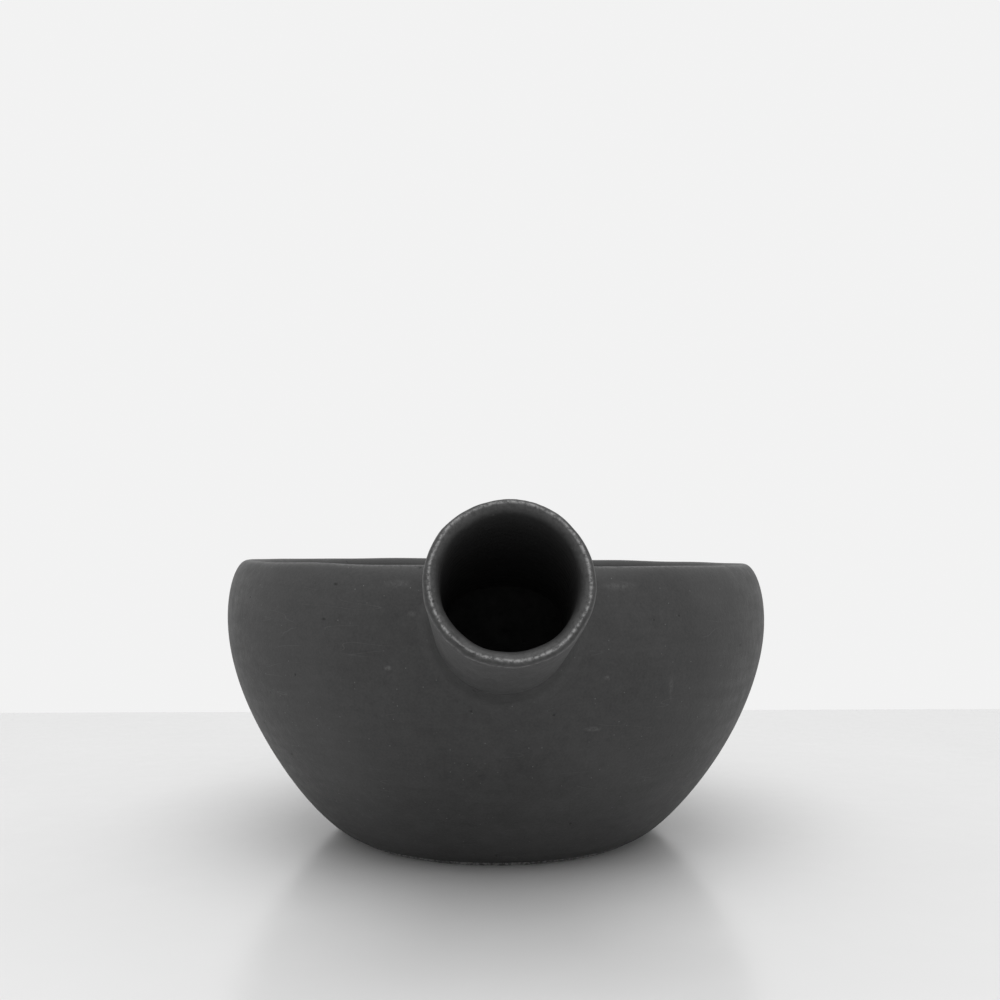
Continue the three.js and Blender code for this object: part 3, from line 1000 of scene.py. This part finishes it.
class COOKINGPOT_OT_stage(bpy.types.Operator):
    """Sets up the pale table, the white room, the soft lamp and the camera"""
    bl_idname = "cooking_pot.stage"
    bl_label = "Stage"

    def execute(self, context):
        scene = context.scene
        stage = scene.pot_stage
        self.table(scene, stage)
        self.room(scene, stage)
        self.lamp(scene, stage)
        self.camera(scene, stage)
        scene.view_settings.view_transform = "Standard"
        return {"FINISHED"}

    def table(self, scene, stage):
        """A glossy pale table top whose upper face is the ground."""
        bm = bmesh.new()
        bmesh.ops.create_cube(bm, size=1)
        depth = stage.table_front + stage.table_back
        middle = (stage.table_back - stage.table_front) / 2
        bmesh.ops.scale(bm, vec=(2 * stage.table_half_width, depth, stage.table_thickness), verts=bm.verts[:])
        bmesh.ops.translate(bm, vec=(0, middle, -stage.table_thickness / 2), verts=bm.verts[:])
        bmesh.ops.bevel(bm, geom=bm.edges[:], offset=stage.table_round, segments=4, profile=0.5,
                        affect="EDGES", material=-1)
        mesh = bpy.data.meshes.new("Table")
        bm.to_mesh(mesh)
        bm.free()
        material = bpy.data.materials.new("Table")
        material.use_nodes = True
        tree = material.node_tree
        shader = tree.nodes["Principled BSDF"]
        place = tree.nodes.new("ShaderNodeTexCoord").outputs["Object"]
        shader.inputs["Specular IOR Level"].default_value = stage.table_shine
        shade = tuple(TABLE_SHADE * part for part in stage.table[:3]) + (1,)
        colour = blend(tree, cloud(tree, place, TABLE_CLOUDS), shade, stage.table)
        tree.links.new(colour, shader.inputs["Base Color"])
        gloss = ramp(tree, cloud(tree, place, TABLE_WEAR), TABLE_GLOSS)
        tree.links.new(gloss, shader.inputs["Roughness"])
        mesh.materials.append(material)
        self.add(scene, bpy.data.objects.new("Table", mesh))

    def room(self, scene, stage):
        """A white room: plain light for the clay, plain white for the eye and for reflections."""
        world = bpy.data.worlds.new("White Room")
        scene.world = world
        world.use_nodes = True
        tree = world.node_tree
        tree.nodes.clear()
        path = tree.nodes.new("ShaderNodeLightPath").outputs
        seen = maths(tree, "MAXIMUM", path["Is Camera Ray"],
                     maths(tree, "MAXIMUM", path["Is Glossy Ray"], path["Is Transmission Ray"]))
        light = add_node(tree, "ShaderNodeBackground", {"Color": (1, 1, 1, 1), "Strength": stage.world_light})
        white = add_node(tree, "ShaderNodeBackground", {"Color": stage.backdrop, "Strength": 1.0})
        mixed = add_node(tree, "ShaderNodeMixShader", {0: seen, 1: light.outputs[0], 2: white.outputs[0]})
        add_node(tree, "ShaderNodeOutputWorld", {"Surface": mixed.outputs[0]})

    def lamp(self, scene, stage):
        """One soft lamp above and before the pot."""
        lamp = bpy.data.lights.new("Soft Lamp", "AREA")
        lamp.size = stage.lamp_size
        lamp.energy = stage.lamp_power
        holder = bpy.data.objects.new("Soft Lamp", lamp)
        holder.location = (0, -stage.lamp_front, stage.lamp_height)
        self.add(scene, holder)

    def camera(self, scene, stage):
        """The camera of the front view."""
        lens = bpy.data.cameras.new("Front View")
        lens.lens = stage.lens
        lens.sensor_width = SENSOR_WIDTH
        lens.clip_start = 0.01
        lens.dof.use_dof = False
        holder = bpy.data.objects.new("Front View", lens)
        holder.location = camera_place(stage)
        holder.rotation_euler = camera_turn(stage)
        self.add(scene, holder)
        scene.camera = holder

    def add(self, scene, thing):
        """Puts a thing in the scene as part of the stage."""
        scene.collection.objects.link(thing)


OPERATORS = (COOKINGPOT_OT_wall, COOKINGPOT_OT_slab, COOKINGPOT_OT_tube, COOKINGPOT_OT_fillet,
             COOKINGPOT_OT_stage)
SETTINGS = {
    "pot_bowl": BowlSettings,
    "pot_slab": SlabSettings,
    "pot_handle": HandleSettings,
    "pot_fillet": FilletSettings,
    "pot_handwork": HandworkSettings,
    "pot_clay": ClaySettings,
    "pot_stage": StageSettings,
}


class COOKINGPOT_PT_panel(bpy.types.Panel):
    """Lists the steps that build the pot, and their settings"""
    bl_idname = "COOKINGPOT_PT_panel"
    bl_label = "Clay Cooking Pot"
    bl_space_type = "VIEW_3D"
    bl_region_type = "UI"
    bl_category = "Cooking Pot"

    def draw(self, context):
        for operator in OPERATORS:
            self.layout.operator(operator.bl_idname)
        for name, group in SETTINGS.items():
            box = self.layout.box()
            for setting in group.__annotations__:
                box.prop(getattr(context.scene, name), setting)


def register():
    """Registers the settings, the operators and the panel."""
    for name, group in SETTINGS.items():
        bpy.utils.register_class(group)
        setattr(bpy.types.Scene, name, PointerProperty(type=group))
    for operator in OPERATORS:
        bpy.utils.register_class(operator)
    bpy.utils.register_class(COOKINGPOT_PT_panel)


def unregister():
    """Takes the panel, the operators and the settings out again."""
    bpy.utils.unregister_class(COOKINGPOT_PT_panel)
    for operator in OPERATORS:
        bpy.utils.unregister_class(operator)
    for name, group in SETTINGS.items():
        delattr(bpy.types.Scene, name)
        bpy.utils.unregister_class(group)


def main():
    """Builds the pot and its stage in order."""
    register()
    bpy.ops.cooking_pot.wall()
    bpy.ops.cooking_pot.slab()
    bpy.ops.cooking_pot.tube()
    bpy.ops.cooking_pot.fillet()
    bpy.ops.cooking_pot.stage()


if __name__ == "__main__":
    main()
